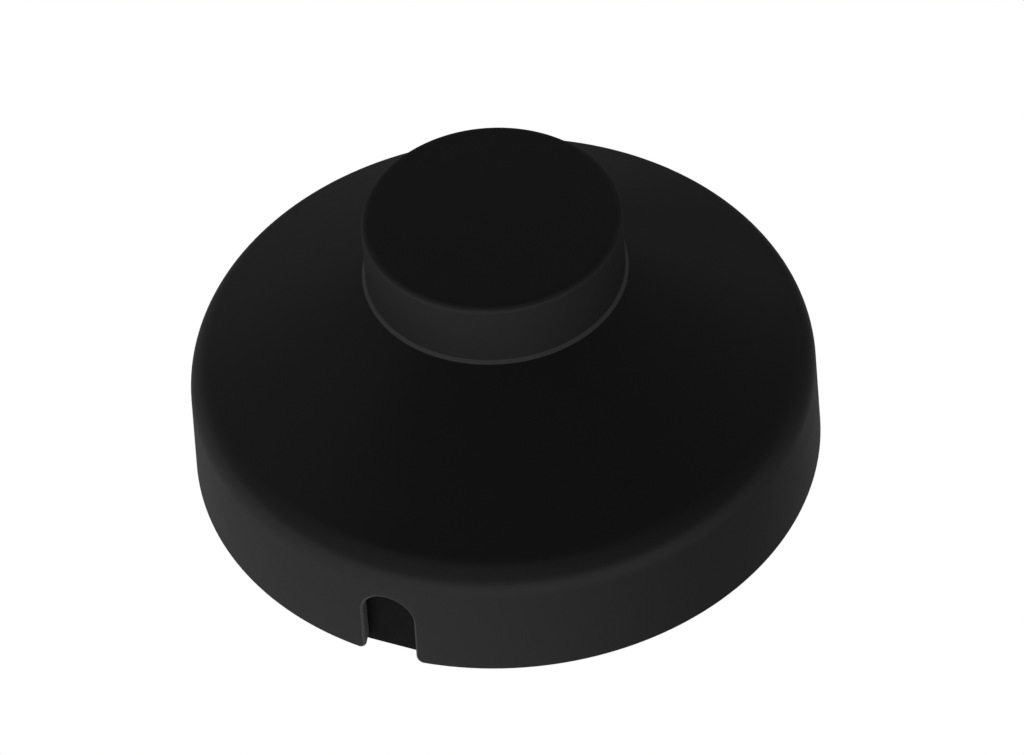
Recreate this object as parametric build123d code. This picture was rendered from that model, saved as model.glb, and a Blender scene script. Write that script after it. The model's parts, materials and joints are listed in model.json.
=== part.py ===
from build123d import *
from math import cos, radians, sin
import os

# Round in-line foot switch for a floor lamp.
# Frame: origin on the floor under the middle of the button, +Z up, millimetres.
# The cord runs along Y: the front entry is at -Y and the rear entry at +Y.

os.makedirs("parts", exist_ok=True)

# ---- Cover, outside -------------------------------------------------------
STAND_OFF = 0.5                  # rubber feet hold the skirt this far off the floor
SKIRT_RADIUS = 31.5              # at the lowest edge of the skirt
SHOULDER_RADIUS = 31.2           # where the skirt and roof lines would meet
SHOULDER_Z = STAND_OFF + 12.35
SHOULDER_FILLET = 4.8
ROOF_TOP_RADIUS = 13.25          # where the roof meets the lip round the button hole
ROOF_TOP_Z = STAND_OFF + 24.1
LIP_TOP_Z = STAND_OFF + 24.3
LIP_FILLET = 0.14

# ---- Cover, inside --------------------------------------------------------
WALL = 1.8                       # measured square to the surface
BUTTON_HOLE_RADIUS = 12.95
COLLAR_RADIUS = 15.0             # shallow recess that takes the button's flange
COLLAR_Z = STAND_OFF + 21.0
INNER_FILLET = 3.0
RIB_DEPTH = 2.4
RIB_WIDTH = 1.1
RIB_ANGLES = (30, 60, 150, 180, 210, 300, 330)
ROOT = 0.5                       # how far added solids sink into the one that carries them

# ---- Cord entries ---------------------------------------------------------
ENTRY_WIDTH = 5.2
ENTRY_HEIGHT = 8.3
ENTRY_FOOT_FILLET = 0.9          # rounds the skirt's corners on both sides of an entry
OUTER_EDGE_FILLET = 0.4          # along the skirt's foot and round the entries
BLANK_FACE_Y = 29.75             # outer face of the blanking plate
BLANK_THICKNESS = 1.4
BLANK_WIDTH = 8.4
BLANK_HEIGHT = 9.2
BLANK_PLAY = 0.08
BLANK_CORNER = 2.4
LEDGE_WIDTH = 5.2                # foot of a blanking plate, standing on the base plate
LEDGE_DEPTH = 2.0
LEDGE_HEIGHT = 1.2

# ---- Push button ----------------------------------------------------------
BUTTON_RADIUS = 12.85
BUTTON_TOP_Z = STAND_OFF + 31.55
BUTTON_EDGE_FILLET = 0.8
BUTTON_WALL = 1.6
BUTTON_ROOF = 1.8
BUTTON_TRAVEL = 4.5
FLANGE_RADIUS = 14.6
FLANGE_THICKNESS = 1.2
FLANGE_TOP_Z = COLLAR_Z - 0.1

# ---- Base plate and its fixings -------------------------------------------
BASE_BOTTOM_Z = STAND_OFF + 0.4
BASE_TOP_Z = STAND_OFF + 3.0
BASE_RADIUS = 29.2
BASE_RIM_THICKNESS = 1.2
BASE_RIM_TOP_Z = STAND_OFF + 6.0
FOOT_CIRCLE = 21.5
FOOT_RADIUS = 4.5
FOOT_RECESS = 0.8
FOOT_ANGLES = (60, 180, 300)
COVER_SCREW_CIRCLE = 24.0
COVER_SCREW_ANGLES = (0, 120, 240)
COVER_BOSS_RADIUS = 2.8
BASE_BOSS_RADIUS = 4.3
BASE_BOSS_TOP_Z = STAND_OFF + 4.4
COVER_SCREW_SEAT_Z = STAND_OFF + 2.6
COVER_SCREW_WELL_RADIUS = 3.0
COVER_SCREW_HOLE_RADIUS = 1.75
COVER_PILOT_RADIUS = 1.6
COVER_PILOT_TOP_Z = STAND_OFF + 13.2

# ---- Switch mechanism -----------------------------------------------------
HOUSING_SIZE = 23.0
HOUSING_CORNER = 2.5
HOUSING_FLOOR_Z = BASE_TOP_Z + 1.4
HOUSING_TOP_Z = STAND_OFF + 13.7
HOUSING_BORE = 8.8
LID_TOP_Z = STAND_OFF + 15.0
CORNER_OFFSET = 8.9              # long screws and lid pegs sit in the housing's corners
CORNER_HOLE_RADIUS = 1.1
LID_PEG_RADIUS = 1.0
LID_PEG_LENGTH = 3.0
PIVOT_RADIUS = 1.2
PIVOT_TOP_Z = STAND_OFF + 13.2
PIVOT_BOSS_RADIUS = 2.2
ROTOR_BOTTOM_Z = STAND_OFF + 7.2
ROTOR_DISC_TOP_Z = STAND_OFF + 9.0
ROTOR_RADIUS = 8.3
HUB_RADIUS = 3.0
HUB_TOP_Z = STAND_OFF + 12.9
TEETH = 4
TOOTH_RADIUS = 5.6
TOOTH_TOP_Z = STAND_OFF + 13.3
TURN_PER_PRESS = 45.0            # degrees of rotor turn for one full press
FIN_INNER = 3.3                  # the plunger's fins, from and to these radii
FIN_OUTER = 5.3
FIN_WIDTH = 1.2
FIN_TIP_Z = STAND_OFF + 13.65
FIN_SLOT_PLAY = 0.2
PLUNGER_DISC_RADIUS = 5.6
PLUNGER_DISC_Z = LID_TOP_Z + BUTTON_TRAVEL + 0.2
PLUNGER_DISC_THICKNESS = 1.5
SOCKET_RADIUS = 3.6              # tube under the button that holds the plunger
SPIGOT_RADIUS = 2.3
SPIGOT_LENGTH = 5.5
SPRING_RADIUS = 7.5              # to the middle of the wire
SPRING_WIRE = 0.9
SPRING_TURNS = 6
SEAT_OUTER = SPRING_RADIUS - 0.7  # low rings that centre the spring at both ends
SEAT_INNER = SPRING_RADIUS - 1.5

# ---- Contacts and terminals -----------------------------------------------
LEAF_Z = STAND_OFF + 5.0
LEAF_THICKNESS = 0.4
LEAF_WIDTH = 4.0
LEAF_INNER_Y = 5.0
CONTACT_Y = 6.3                  # distance of each rivet from the rotor's axis
RIVET_RADIUS = 1.4
RIVET_TOP_Z = STAND_OFF + 6.15
BRIDGE_PAD_Z = STAND_OFF + 6.2
BRIDGE_THICKNESS = 0.6
BRIDGE_LENGTH = 16.0
BRIDGE_WIDTH = 4.6
BRIDGE_HUB_RADIUS = 3.6
BRIDGE_PAD_RADIUS = 1.5
BRIDGE_PEG_RADIUS = 0.7
BRIDGE_PEG_Y = 4.1
TERMINAL_Y = 15.4
TERMINAL_LENGTH = 5.0
TERMINAL_WIDTH = 6.0
TERMINAL_TOP_Z = STAND_OFF + 11.0
LINK_X = 16.6
LINK_WIDTH = 6.0
LINK_LENGTH = 23.0
LINK_TOP_Z = STAND_OFF + 10.4
LINK_SCREW_Y = 7.5
TRAY_WALL = 0.8
TRAY_PLAY = 0.1
TRAY_HEIGHT = 4.0
WIRE_GAP = 3.6                   # opening in a tray's end walls
WIRE_GAP_SILL = 1.2
PLINTH_CHEEK = 3.0               # height of a plinth's cheeks above the leaf

# ---- Cord clamps ----------------------------------------------------------
CLAMP_Y = 22.5
CLAMP_WIDTH = 4.2
CLAMP_LENGTH = 16.8
CLAMP_SCREW_X = 6.0
CLAMP_POST_RADIUS = 2.2
CLAMP_SEAT_Z = STAND_OFF + 7.0
CLAMP_TOP_Z = STAND_OFF + 11.0
CORD_RADIUS = 2.6
CORD_AXIS_Z = STAND_OFF + 6.1
CLAMP_CORNER = 1.6
CLAMP_CHAMFER = 0.4
CLAMP_HOLE_RADIUS = 1.5
GRIP_RIDGE_WIDTH = 2.8
GRIP_RIDGE_DEPTH = 0.8
THROAT_WALL = 1.1                # cheeks that guide the cord
THROAT_HALF_WIDTH = 3.1
THROAT_TOP_Z = STAND_OFF + 8.6
FLOOR_RIDGE_OFFSET = 0.9
FLOOR_RIDGE_WIDTH = 0.6
FLOOR_RIDGE_HEIGHT = 0.7
BASE_RIM_GAP = 8.8               # break in the base plate's rim at each cord entry


# ---- Simple shapes --------------------------------------------------------
def disc(radius, low, high, x=0.0, y=0.0):
    """Upright cylinder between two heights."""
    bottom_up = (Align.CENTER, Align.CENTER, Align.MIN)
    return Pos(x, y, low) * Cylinder(radius, high - low, align=bottom_up)


def ring(outer, inner, low, high, x=0.0, y=0.0):
    """Upright tube between two heights."""
    return disc(outer, low, high, x, y) - disc(inner, low - 1, high + 1, x, y)


def block(low, high):
    """Box between two corners."""
    size = [b - a for a, b in zip(low, high)]
    to_corner = (Align.MIN, Align.MIN, Align.MIN)
    return Pos(*low) * Box(*size, align=to_corner)


def turned(outline):
    """Solid of revolution about Z from (radius, z) points."""
    face = make_face(Plane.XZ * Polyline(*outline, close=True))
    return revolve(face, Axis.Z)


def rod_along_y(radius, y_low, y_high, x, z):
    """Cylinder lying along Y."""
    bottom_up = (Align.CENTER, Align.CENTER, Align.MIN)
    return Pos(x, y_low, z) * Rot(-90, 0, 0) * Cylinder(radius, y_high - y_low, align=bottom_up)


def around(circle, angles):
    """Points on a circle about the origin."""
    return [(circle * cos(radians(a)), circle * sin(radians(a))) for a in angles]


def group(solids):
    """Separate solids that share one node."""
    return Compound(children=list(solids))


def screw(head_radius, head_height, thread_radius, length, pitch=1.0, sunk=False):
    """Cross-head screw, its head's seat at z = 0 and its shank pointing down.

    The thread is drawn as closed ridges. A sunk head is a cone that ends flush at z = 0.
    """
    core = thread_radius * 0.78
    if sunk:
        outline = [(0, 0), (head_radius, 0), (core, -head_height)]
        top = 0.0
        z = -head_height - 0.5 * pitch
    else:
        outline = [(0, head_height), (head_radius * 0.62, head_height)]
        outline += [(head_radius * 0.92, head_height * 0.62), (head_radius, 0.2 * head_height)]
        outline += [(head_radius, 0), (core, 0)]
        top = head_height
        z = -0.5 * pitch
    outline.append((core, z))
    while z - pitch > -length + 1.2 * thread_radius:
        outline += [(thread_radius, z - 0.5 * pitch), (core, z - pitch)]
        z -= pitch
    outline += [(core, -length + thread_radius), (0, -length)]
    body = turned(outline)
    slot_length = 1.15 * head_radius
    slot_width = 0.3 * head_radius
    depth = 0.6 * head_height
    for size in ((slot_length, slot_width), (slot_width, slot_length)):
        body -= Pos(0, 0, top - depth / 2) * Box(*size, depth + 0.01)
    return body


# ---- Cover ----------------------------------------------------------------
def roof_z(radius):
    """Height of the outer roof line at a radius."""
    slope = (ROOF_TOP_Z - SHOULDER_Z) / (SHOULDER_RADIUS - ROOF_TOP_RADIUS)
    return ROOF_TOP_Z - slope * (radius - ROOF_TOP_RADIUS)


def skirt_radius(z):
    """Outer radius of the skirt at a height."""
    draft = (SKIRT_RADIUS - SHOULDER_RADIUS) / (SHOULDER_Z - STAND_OFF)
    return SKIRT_RADIUS - draft * (z - STAND_OFF)


def under_roof_z(radius):
    """Height of the roof's underside at a radius."""
    rise = ROOF_TOP_Z - SHOULDER_Z
    run = SHOULDER_RADIUS - ROOF_TOP_RADIUS
    return roof_z(radius) - WALL * (rise ** 2 + run ** 2) ** 0.5 / run


def inner_corner():
    """Where the skirt's inner face meets the roof's underside."""
    radius = SHOULDER_RADIUS - WALL
    for _ in range(20):
        radius = skirt_radius(under_roof_z(radius)) - WALL
    return radius, under_roof_z(radius)


def rounded_turn(outline, corner, fillet_radius):
    """Solid of revolution with one corner of its outline rounded."""
    face = make_face(Plane.XZ * Polyline(*outline, close=True))
    near = face.vertices().sort_by_distance(Vector(corner[0], 0, corner[1]))[0]
    return revolve(fillet(near, fillet_radius), Axis.Z)


def entry_opening(front):
    """Arched hole through the skirt, straight below and round on top."""
    radius = ENTRY_WIDTH / 2
    spring_z = STAND_OFF + ENTRY_HEIGHT - radius
    near = BASE_RADIUS - 4
    far = SKIRT_RADIUS + 2
    y_low, y_high = (-far, -near) if front else (near, far)
    legs = block((-radius, y_low, STAND_OFF - 2), (radius, y_high, spring_z))
    return legs + rod_along_y(radius, y_low, y_high, 0, spring_z)


def blank_pocket(front):
    """Shallow flat-faced pocket inside the skirt for the blanking plate."""
    half = BLANK_WIDTH / 2 + BLANK_PLAY
    near = BLANK_FACE_Y - BLANK_THICKNESS - 2
    far = BLANK_FACE_Y + 0.03
    y_low, y_high = (-far, -near) if front else (near, far)
    return block((-half, y_low, STAND_OFF - 2), (half, y_high, STAND_OFF + BLANK_HEIGHT + BLANK_PLAY))


def roof_ribs():
    """Stiffening ribs under the roof, from the guide collar to the skirt."""
    outer, corner_z = inner_corner()
    inner = COLLAR_RADIUS + 0.2
    outline = [(inner, under_roof_z(inner) + ROOT), (outer + ROOT, under_roof_z(outer + ROOT) + ROOT)]
    outline += [(outer + ROOT, corner_z - RIB_DEPTH), (outer - 2, under_roof_z(outer - 2) - RIB_DEPTH)]
    outline += [(inner, under_roof_z(inner) - 0.6)]
    band = turned(outline)
    ribs = []
    for angle in RIB_ANGLES:
        blade = block((0, -RIB_WIDTH / 2, 0), (SKIRT_RADIUS - 1, RIB_WIDTH / 2, LIP_TOP_Z))
        ribs.append(band & (Rot(0, 0, angle) * blade))
    return ribs


def distance_from_axis(point):
    return (point.X ** 2 + point.Y ** 2) ** 0.5


def entry_foot_corners(cover):
    """Edges where the side walls of the cord entries meet the foot of the skirt."""
    found = []
    for edge in cover.edges().group_by(Axis.Z)[0]:
        middle = edge @ 0.5
        on_side_wall = abs(abs(middle.X) - ENTRY_WIDTH / 2) < 0.01
        if on_side_wall and abs(middle.Y) > BLANK_FACE_Y:
            found.append(edge)
    return found


def outer_foot_edges(cover):
    """The skirt's lower outer edge and the outer edges of both cord entries, one smooth chain."""
    found = []
    for edge in cover.edges():
        middle = edge @ 0.5
        on_skirt = abs(distance_from_axis(middle) - skirt_radius(middle.Z)) < 0.05
        if on_skirt and middle.Z < STAND_OFF + ENTRY_HEIGHT + 0.5:
            found.append(edge)
    return found


def button_lip():
    """Low ring round the button hole, rounded on top."""
    lip = ring(ROOF_TOP_RADIUS, BUTTON_HOLE_RADIUS, ROOF_TOP_Z - ROOT, LIP_TOP_Z)
    top_edges = lip.faces().sort_by(Axis.Z)[-1].edges()
    return fillet(top_edges, LIP_FILLET)


def top_cover():
    """Skirt, shoulder, conical roof, button hole, screw bosses and the two cord entries."""
    corner_radius, corner_z = inner_corner()
    bottom_inner = skirt_radius(STAND_OFF) - WALL
    outside = [(0, STAND_OFF), (SKIRT_RADIUS, STAND_OFF), (SHOULDER_RADIUS, SHOULDER_Z)]
    outside += [(ROOF_TOP_RADIUS, ROOF_TOP_Z), (0, ROOF_TOP_Z)]
    inside = [(0, STAND_OFF - 1), (bottom_inner + 0.05, STAND_OFF - 1), (bottom_inner, STAND_OFF)]
    inside += [(corner_radius, corner_z), (COLLAR_RADIUS, under_roof_z(COLLAR_RADIUS))]
    inside += [(COLLAR_RADIUS, COLLAR_Z), (0, COLLAR_Z)]
    envelope = rounded_turn(outside, (SHOULDER_RADIUS, SHOULDER_Z), SHOULDER_FILLET)
    cover = envelope - rounded_turn(inside, (corner_radius, corner_z), INNER_FILLET)
    cover += button_lip()
    cover -= disc(BUTTON_HOLE_RADIUS, COLLAR_Z - 1, ROOF_TOP_Z)
    screw_places = around(COVER_SCREW_CIRCLE, COVER_SCREW_ANGLES)
    for x, y in screw_places:
        cover += disc(COVER_BOSS_RADIUS, BASE_BOSS_TOP_Z, LIP_TOP_Z, x, y) & envelope
    for rib in roof_ribs():
        cover += rib
    for x, y in screw_places:
        cover -= disc(COVER_PILOT_RADIUS, BASE_BOSS_TOP_Z - 1, COVER_PILOT_TOP_Z, x, y)
    for front in (True, False):
        cover -= entry_opening(front)
        cover -= blank_pocket(front)
    cover = fillet(entry_foot_corners(cover), ENTRY_FOOT_FILLET)
    return fillet(outer_foot_edges(cover), OUTER_EDGE_FILLET)


def entry_blank(front):
    """Arched blanking plate behind a cord entry, with a ledge that stands on the base plate."""
    side = -1 if front else 1
    half = BLANK_WIDTH / 2
    inner_y = BLANK_FACE_Y - BLANK_THICKNESS
    ends = sorted((side * BLANK_FACE_Y, side * inner_y))
    plate = block((-half, ends[0], STAND_OFF), (half, ends[1], STAND_OFF + BLANK_HEIGHT))
    upper = plate.edges().filter_by(Axis.Y).group_by(Axis.Z)[-1]
    plate = fillet(upper, BLANK_CORNER)
    ledge_ends = sorted((side * inner_y, side * (inner_y - LEDGE_DEPTH)))
    ledge = block((-LEDGE_WIDTH / 2, ledge_ends[0], BASE_TOP_Z),
                  (LEDGE_WIDTH / 2, ledge_ends[1], BASE_TOP_Z + LEDGE_HEIGHT))
    return plate + ledge


# ---- Push button and what moves with it -----------------------------------
def push_button():
    """Round cap with a flange that holds it under the cover, and a socket for the plunger."""
    low = FLANGE_TOP_Z - FLANGE_THICKNESS
    cap = disc(BUTTON_RADIUS, low, BUTTON_TOP_Z)
    top_edge = cap.edges().group_by(Axis.Z)[-1]
    cap = fillet(top_edge, BUTTON_EDGE_FILLET)
    cap += disc(FLANGE_RADIUS, low, FLANGE_TOP_Z)
    roof_z_inside = BUTTON_TOP_Z - BUTTON_ROOF
    cap -= disc(BUTTON_RADIUS - BUTTON_WALL, low - 1, roof_z_inside)
    socket_low = PLUNGER_DISC_Z + PLUNGER_DISC_THICKNESS
    cap += ring(SOCKET_RADIUS, SPIGOT_RADIUS + 0.02, socket_low, roof_z_inside)
    cap += ring(SEAT_OUTER, SEAT_INNER, roof_z_inside - 1.0, roof_z_inside)
    return cap


def ratchet_plunger():
    """Spigot, disc and four slanted fins that push the rotor's ramps round."""
    disc_top = PLUNGER_DISC_Z + PLUNGER_DISC_THICKNESS
    plunger = disc(PLUNGER_DISC_RADIUS, PLUNGER_DISC_Z, disc_top)
    plunger += disc(SPIGOT_RADIUS, disc_top, disc_top + SPIGOT_LENGTH)
    mean_radius = (FIN_INNER + FIN_OUTER) / 2
    slope = BUTTON_TRAVEL / (mean_radius * radians(TURN_PER_PRESS))
    half = FIN_WIDTH / 2
    outline = [(-half, FIN_TIP_Z), (half, FIN_TIP_Z + FIN_WIDTH * slope)]
    outline += [(half, PLUNGER_DISC_Z + ROOT), (-half, PLUNGER_DISC_Z + ROOT)]
    side = make_face(Plane.YZ * Polyline(*outline, close=True))
    fin = Pos(FIN_INNER, 0, 0) * extrude(side, FIN_OUTER - FIN_INNER, dir=(1, 0, 0))
    for index in range(TEETH):
        plunger += Rot(0, 0, 360 / TEETH * index) * fin
    return plunger


def return_spring():
    """Helical spring between the mechanism lid and the button."""
    low = LID_TOP_Z + SPRING_WIRE / 2
    high = BUTTON_TOP_Z - BUTTON_ROOF - SPRING_WIRE / 2
    path = Helix(pitch=(high - low) / SPRING_TURNS, height=high - low, radius=SPRING_RADIUS)
    section = Plane(origin=path @ 0, z_dir=path % 0) * Circle(SPRING_WIRE / 2)
    return Pos(0, 0, low) * sweep(section, path=path)


# ---- Rotor ----------------------------------------------------------------
def ratchet_tooth():
    """One tooth: a flat land, then a ramp that falls as it goes clockwise."""
    fin_half_angle = 8
    land = [(angle, TOOTH_TOP_Z) for angle in (12, 2, -fin_half_angle)]
    fall_per_degree = BUTTON_TRAVEL / TURN_PER_PRESS
    foot_angle = -fin_half_angle - (TOOTH_TOP_Z - ROTOR_DISC_TOP_Z) / fall_per_degree
    ramp = []
    for step in range(1, 5):
        angle = -fin_half_angle + (foot_angle + fin_half_angle) * step / 4
        ramp.append((angle, TOOTH_TOP_Z - fall_per_degree * (-fin_half_angle - angle)))
    sections = []
    for angle, top in land + ramp:
        corners = [(HUB_RADIUS - ROOT, ROTOR_DISC_TOP_Z - ROOT), (TOOTH_RADIUS, ROTOR_DISC_TOP_Z - ROOT)]
        corners += [(TOOTH_RADIUS, top), (HUB_RADIUS - ROOT, top)]
        sections.append(Rot(0, 0, angle) * make_face(Plane.XZ * Polyline(*corners, close=True)))
    return loft(sections, ruled=True)


def ratchet_rotor():
    """Disc with a hub, four ramped teeth on top and pegs for the contact bridge below."""
    rotor = disc(ROTOR_RADIUS, ROTOR_BOTTOM_Z, ROTOR_DISC_TOP_Z)
    rotor += disc(HUB_RADIUS, ROTOR_BOTTOM_Z, HUB_TOP_Z)
    tooth = ratchet_tooth()
    for index in range(TEETH):
        rotor += Rot(0, 0, 360 / TEETH * index) * tooth
    for y in (-BRIDGE_PEG_Y, BRIDGE_PEG_Y):
        rotor += disc(BRIDGE_PEG_RADIUS, ROTOR_BOTTOM_Z - BRIDGE_THICKNESS, ROTOR_BOTTOM_Z, 0, y)
    return rotor - disc(PIVOT_RADIUS + 0.05, 0, HUB_TOP_Z + 1)


def contact_bridge():
    """Brass bar under the rotor with a raised pad at each end."""
    low = ROTOR_BOTTOM_Z - BRIDGE_THICKNESS
    half_length = BRIDGE_LENGTH / 2
    half_width = BRIDGE_WIDTH / 2
    bar = block((-half_width, -half_length, low), (half_width, half_length, ROTOR_BOTTOM_Z))
    bar &= disc(ROTOR_RADIUS - 0.2, low, ROTOR_BOTTOM_Z)
    bar += disc(BRIDGE_HUB_RADIUS, low, ROTOR_BOTTOM_Z)
    for y in (-CONTACT_Y, CONTACT_Y):
        bar += disc(BRIDGE_PAD_RADIUS, BRIDGE_PAD_Z, low, 0, y)
    for y in (-BRIDGE_PEG_Y, BRIDGE_PEG_Y):
        bar -= disc(BRIDGE_PEG_RADIUS + 0.05, 0, ROTOR_BOTTOM_Z + 1, 0, y)
    return bar - disc(PIVOT_BOSS_RADIUS + 0.1, 0, ROTOR_BOTTOM_Z + 1)


def rotor_pivot():
    """Steel pin, chamfered at the top, pressed into the housing floor."""
    pin = disc(PIVOT_RADIUS, BASE_TOP_Z + 0.2, PIVOT_TOP_Z)
    return chamfer(pin.edges().group_by(Axis.Z)[-1], 0.25)


# ---- Mechanism housing ----------------------------------------------------
def screw_corners():
    return [(CORNER_OFFSET, CORNER_OFFSET), (-CORNER_OFFSET, -CORNER_OFFSET)]


def peg_corners():
    return [(-CORNER_OFFSET, CORNER_OFFSET), (CORNER_OFFSET, -CORNER_OFFSET)]


def square_body(low, high):
    """Square block with rounded upright corners."""
    half = HOUSING_SIZE / 2
    body = block((-half, -half, low), (half, half, high))
    return fillet(body.edges().filter_by(Axis.Z), HOUSING_CORNER)


def mechanism_housing():
    """Square moulding with a round bore, contact slots and the pivot boss."""
    housing = square_body(BASE_TOP_Z, HOUSING_TOP_Z)
    housing -= disc(HOUSING_BORE, HOUSING_FLOOR_Z, HOUSING_TOP_Z + 1)
    housing += disc(PIVOT_BOSS_RADIUS, HOUSING_FLOOR_Z - ROOT, ROTOR_BOTTOM_Z - 0.05)
    housing -= disc(PIVOT_RADIUS + 0.02, BASE_TOP_Z + 0.2, ROTOR_BOTTOM_Z)
    slot_half = LEAF_WIDTH / 2 + 0.2
    slot_low = (-slot_half, -HOUSING_SIZE, LEAF_Z - 0.1)
    slot_high = (slot_half, HOUSING_SIZE, LEAF_Z + LEAF_THICKNESS + 0.1)
    housing -= block(slot_low, slot_high) - disc(HOUSING_BORE - 1, 0, HOUSING_TOP_Z)
    for x, y in screw_corners():
        housing -= disc(CORNER_HOLE_RADIUS, BASE_TOP_Z - 1, HOUSING_TOP_Z + 1, x, y)
    for x, y in peg_corners():
        housing -= disc(CORNER_HOLE_RADIUS, HOUSING_TOP_Z - LID_PEG_LENGTH - 0.2, HOUSING_TOP_Z + 1, x, y)
    return housing


def mechanism_lid():
    """Lid with slots that guide the plunger's fins and a rim that seats the spring."""
    lid = square_body(HOUSING_TOP_Z, LID_TOP_Z)
    lid += ring(SEAT_OUTER, SEAT_INNER, LID_TOP_Z, LID_TOP_Z + 0.8)
    half = FIN_WIDTH / 2 + FIN_SLOT_PLAY
    inner = FIN_INNER - FIN_SLOT_PLAY
    outer = FIN_OUTER + FIN_SLOT_PLAY
    slot = block((inner, -half, HOUSING_TOP_Z - 1), (outer, half, LID_TOP_Z + 1))
    for index in range(TEETH):
        lid -= Rot(0, 0, 360 / TEETH * index) * slot
    lid -= disc(PIVOT_RADIUS + 0.3, HOUSING_TOP_Z - 1, LID_TOP_Z - 0.5)
    for x, y in screw_corners():
        countersink = [(0, LID_TOP_Z + 1), (1.9, LID_TOP_Z + 1), (1.9, LID_TOP_Z)]
        countersink += [(1.0, LID_TOP_Z - 0.95), (1.0, HOUSING_TOP_Z - 1), (0, HOUSING_TOP_Z - 1)]
        lid -= Pos(x, y, 0) * turned(countersink)
    for x, y in peg_corners():
        lid += disc(LID_PEG_RADIUS, HOUSING_TOP_Z - LID_PEG_LENGTH, HOUSING_TOP_Z, x, y)
    return lid


def mechanism_screws():
    """Two long countersunk screws through lid and housing into the base plate."""
    length = LID_TOP_Z - BASE_BOTTOM_Z - 0.6
    one = screw(head_radius=1.75, head_height=0.85, thread_radius=0.9, length=length, pitch=0.8, sunk=True)
    return group(Pos(x, y, LID_TOP_Z) * one for x, y in screw_corners())


# ---- Contacts and terminals -----------------------------------------------
def contact_leaf(side):
    """Flat brass strip from under a line terminal to its rivet inside the housing."""
    half = LEAF_WIDTH / 2
    ends = sorted((side * (TERMINAL_Y + TERMINAL_LENGTH / 2 - 0.3), side * LEAF_INNER_Y))
    strip = block((-half, ends[0], LEAF_Z), (half, ends[1], LEAF_Z + LEAF_THICKNESS))
    return strip - disc(0.82, 0, LEAF_Z + 1, 0, side * CONTACT_Y)


def contact_rivets():
    """Silver rivet in the free end of each leaf."""
    leaf_top = LEAF_Z + LEAF_THICKNESS
    outline = [(0, LEAF_Z - 0.35), (1.2, LEAF_Z - 0.35), (1.2, LEAF_Z), (0.8, LEAF_Z)]
    outline += [(0.8, leaf_top), (RIVET_RADIUS, leaf_top), (RIVET_RADIUS, leaf_top + 0.45)]
    outline += [(RIVET_RADIUS - 0.5, RIVET_TOP_Z), (0, RIVET_TOP_Z)]
    return group(Pos(0, side * CONTACT_Y, 0) * turned(outline) for side in (-1, 1))


def wire_clamp(length, width, low, high, wire_z, wire_radius, screw_ys):
    """Brass block along Y with a wire hole through it and a tapped hole for each screw."""
    body = block((-width / 2, -length / 2, low), (width / 2, length / 2, high))
    body = chamfer(body.edges().filter_by(Axis.Z), 0.4)
    body -= rod_along_y(wire_radius, -length, length, 0, wire_z)
    for y in screw_ys:
        body -= disc(1.25, wire_z, high + 1, 0, y)
    return body


def line_terminal(side):
    """Screw terminal that also clamps the outer end of its contact leaf."""
    low = LEAF_Z + LEAF_THICKNESS
    clamp = wire_clamp(TERMINAL_LENGTH, TERMINAL_WIDTH, low, TERMINAL_TOP_Z,
                       wire_z=low + 2.3, wire_radius=1.4, screw_ys=(0,))
    return Pos(0, side * TERMINAL_Y, 0) * clamp


def through_link(side):
    """Long two-screw terminal that passes a conductor straight through."""
    screw_ys = (-LINK_SCREW_Y, LINK_SCREW_Y)
    clamp = wire_clamp(LINK_LENGTH, LINK_WIDTH, BASE_TOP_Z, LINK_TOP_Z,
                       wire_z=BASE_TOP_Z + 3.2, wire_radius=1.6, screw_ys=screw_ys)
    return Pos(side * LINK_X, 0, 0) * clamp


def terminal_screws():
    """Clamping screws: one in each line terminal, two in each through-link."""
    places = [(0, side * TERMINAL_Y, TERMINAL_TOP_Z) for side in (-1, 1)]
    places += [(sx * LINK_X, sy * LINK_SCREW_Y, LINK_TOP_Z) for sx in (-1, 1) for sy in (-1, 1)]
    one = screw(head_radius=2.0, head_height=1.4, thread_radius=1.2, length=3.4, pitch=0.6)
    return group(Pos(x, y, z + 0.3) * one for x, y, z in places)


# ---- Cord clamps ----------------------------------------------------------
def cord_clamp(side):
    """Saddle bar that presses on the cord."""
    half_length = CLAMP_LENGTH / 2
    half_width = CLAMP_WIDTH / 2
    low = (-half_length, side * CLAMP_Y - half_width, CLAMP_SEAT_Z)
    high = (half_length, side * CLAMP_Y + half_width, CLAMP_TOP_Z)
    bar = block(low, high)
    bar = fillet(bar.edges().filter_by(Axis.Z), CLAMP_CORNER)
    bar = chamfer(bar.faces().sort_by(Axis.Z)[-1].edges(), CLAMP_CHAMFER)
    bar -= rod_along_y(CORD_RADIUS, low[1] - 1, high[1] + 1, 0, CORD_AXIS_Z)
    ridge_z = CORD_AXIS_Z + CORD_RADIUS - ROOT
    bar += block((-GRIP_RIDGE_WIDTH / 2, side * CLAMP_Y - GRIP_RIDGE_DEPTH / 2, ridge_z),
                 (GRIP_RIDGE_WIDTH / 2, side * CLAMP_Y + GRIP_RIDGE_DEPTH / 2, CLAMP_TOP_Z - 1))
    for x in (-CLAMP_SCREW_X, CLAMP_SCREW_X):
        bar -= disc(CLAMP_HOLE_RADIUS, 0, CLAMP_TOP_Z + 1, x, side * CLAMP_Y)
    return bar


def cord_clamp_screws():
    """Two pan-head screws for each cord clamp."""
    one = screw(head_radius=2.2, head_height=1.4, thread_radius=1.3, length=9.0)
    places = [(sx * CLAMP_SCREW_X, sy * CLAMP_Y) for sx in (-1, 1) for sy in (-1, 1)]
    return group(Pos(x, y, CLAMP_TOP_Z) * one for x, y in places)


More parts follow.
